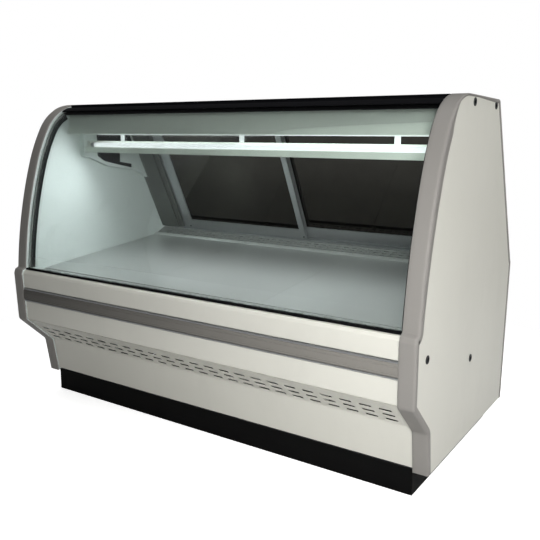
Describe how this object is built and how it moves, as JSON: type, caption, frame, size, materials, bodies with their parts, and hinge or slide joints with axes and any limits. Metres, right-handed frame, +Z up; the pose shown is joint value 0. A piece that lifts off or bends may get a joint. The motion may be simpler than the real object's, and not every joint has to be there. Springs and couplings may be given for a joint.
{
  "type": "refrigerated deli case",
  "caption": "Six foot refrigerated service deli case with curved lift-up front glass, cream end panels, grey bumper trim, mirrored sliding rear doors, lit canopy and built-in cooling unit",
  "frame": {"origin": "middle of the floor footprint", "axes": "+X to the right of a customer facing the case, -Y front with the curved glass, +Z up"},
  "size_m": [1.905, 1.04, 1.334],
  "materials": {
    "black_steel": "satin powder coat",
    "black_sheet": "satin",
    "galvanised": "zinc",
    "foam": "rigid polyurethane",
    "stainless": "brushed",
    "satin_stainless": "satin",
    "cream_paint": "smooth powder coat",
    "white_liner": "gloss white",
    "white_paint": "gloss white",
    "grey_paint": "satin",
    "grey_moulding": "smooth vinyl",
    "grey_bumper": "smooth vinyl",
    "aluminium": "satin anodised",
    "black_anodised": "black anodised",
    "black_rubber": "matt",
    "black_plastic": "matt",
    "white_plastic": "smooth",
    "black_enamel": "enamel",
    "clear_glass": "clear tempered",
    "mirror_glass": "silvered",
    "lamp": "lit, opal",
    "fin_aluminium": "bare fin stock",
    "copper": "drawn tube"
  },
  "bodies": {
    "case": {"base_frame": "black_steel", "kick_plate": "black_sheet", "tub_shell": "galvanised", "tub_foam": "foam", "tub_liner": "stainless", "left_end_panel": "cream_paint", "right_end_panel": "cream_paint", "left_end_liner": "white_liner", "right_end_liner": "white_liner", "left_edge_moulding": "grey_moulding", "right_edge_moulding": "grey_moulding", "joining_bushings": "black_plastic", "front_upper_panel": "cream_paint", "front_mid_panel": "cream_paint", "bumper_channel": "aluminium", "bumper_strip": "grey_bumper", "return_air_grille": "stainless", "glass_seals": "black_rubber", "glass_hinge_rail": "black_anodised", "top_panel": "cream_paint", "canopy_fascia": "satin_stainless", "left_canopy_arm": "white_liner", "right_canopy_arm": "white_liner", "light_channel": "satin_stainless", "lamp_tube": "lamp", "lamp_holders": "white_plastic", "light_hangers": "white_paint", "door_header": "aluminium", "door_bottom_track": "aluminium", "left_jamb": "grey_paint", "right_jamb": "grey_paint", "discharge_grille": "grey_paint", "deck_support_frame": "stainless", "evaporator_coil": "fin_aluminium", "fan_plenum": "galvanised", "fan_motors": "black_steel", "compressor": "black_enamel", "condenser_coil": "fin_aluminium", "condenser_shroud": "galvanised", "refrigerant_lines": "copper", "rear_panel": "cream_paint", "control_box": "white_plastic", "drain_pipe": "white_plastic"},
    "glass": {"front_glass": "clear_glass", "glass_top_channel": "black_anodised"},
    "left_door": {"left_door_frame": "aluminium", "left_door_mirror": "mirror_glass", "left_door_screws": "black_steel"},
    "right_door": {"right_door_frame": "aluminium", "right_door_mirror": "mirror_glass", "right_door_screws": "black_steel"},
    "left_pan": {"deck_pan_left": "stainless"},
    "center_pan": {"deck_pan_center": "stainless"},
    "right_pan": {"deck_pan_right": "stainless"},
    "front_panel": {"front_access_panel": "cream_paint"},
    "back_panel": {"rear_access_panel": "cream_paint"},
    "left_fan": {"evaporator_fan_left": "black_plastic"},
    "right_fan": {"evaporator_fan_right": "black_plastic"},
    "unit_fan": {"condenser_fan": "black_plastic"},
    "knob": {"thermostat_knob": "black_plastic"}
  },
  "joints": [
    {"name": "glass_lift", "type": "hinge", "parent": "case", "child": "glass", "pos_m": [0, -0.19248, 1.31754], "axis": [-1, 0, 0], "range_deg": [0, 50]},
    {"name": "left_door_slide", "type": "slide", "parent": "case", "child": "left_door", "axis": [1, 0, 0], "range_m": [0, 0.74]},
    {"name": "right_door_slide", "type": "slide", "parent": "case", "child": "right_door", "axis": [-1, 0, 0], "range_m": [0, 0.74]},
    {"name": "left_pan_lift", "type": "slide", "parent": "case", "child": "left_pan", "axis": [0, 0, 1], "range_m": [0, 0.12]},
    {"name": "center_pan_lift", "type": "slide", "parent": "case", "child": "center_pan", "axis": [0, 0, 1], "range_m": [0, 0.12]},
    {"name": "right_pan_lift", "type": "slide", "parent": "case", "child": "right_pan", "axis": [0, 0, 1], "range_m": [0, 0.12]},
    {"name": "front_panel_pull", "type": "slide", "parent": "case", "child": "front_panel", "axis": [0, -1, 0], "range_m": [0, 0.2]},
    {"name": "back_panel_pull", "type": "slide", "parent": "case", "child": "back_panel", "axis": [0, 1, 0], "range_m": [0, 0.15]},
    {"name": "left_fan_spin", "type": "hinge", "parent": "case", "child": "left_fan", "pos_m": [-0.35, 0.04, 0.515], "axis": [0, 1, 0], "continuous": true},
    {"name": "right_fan_spin", "type": "hinge", "parent": "case", "child": "right_fan", "pos_m": [0.35, 0.04, 0.515], "axis": [0, 1, 0], "continuous": true},
    {"name": "unit_fan_spin", "type": "hinge", "parent": "case", "child": "unit_fan", "pos_m": [0.19, -0.17, 0.22], "axis": [0, 1, 0], "continuous": true},
    {"name": "thermostat_turn", "type": "hinge", "parent": "case", "child": "knob", "pos_m": [-0.64, 0.5, 0.51], "axis": [0, 1, 0], "range_deg": [0, 270]}
  ]
}
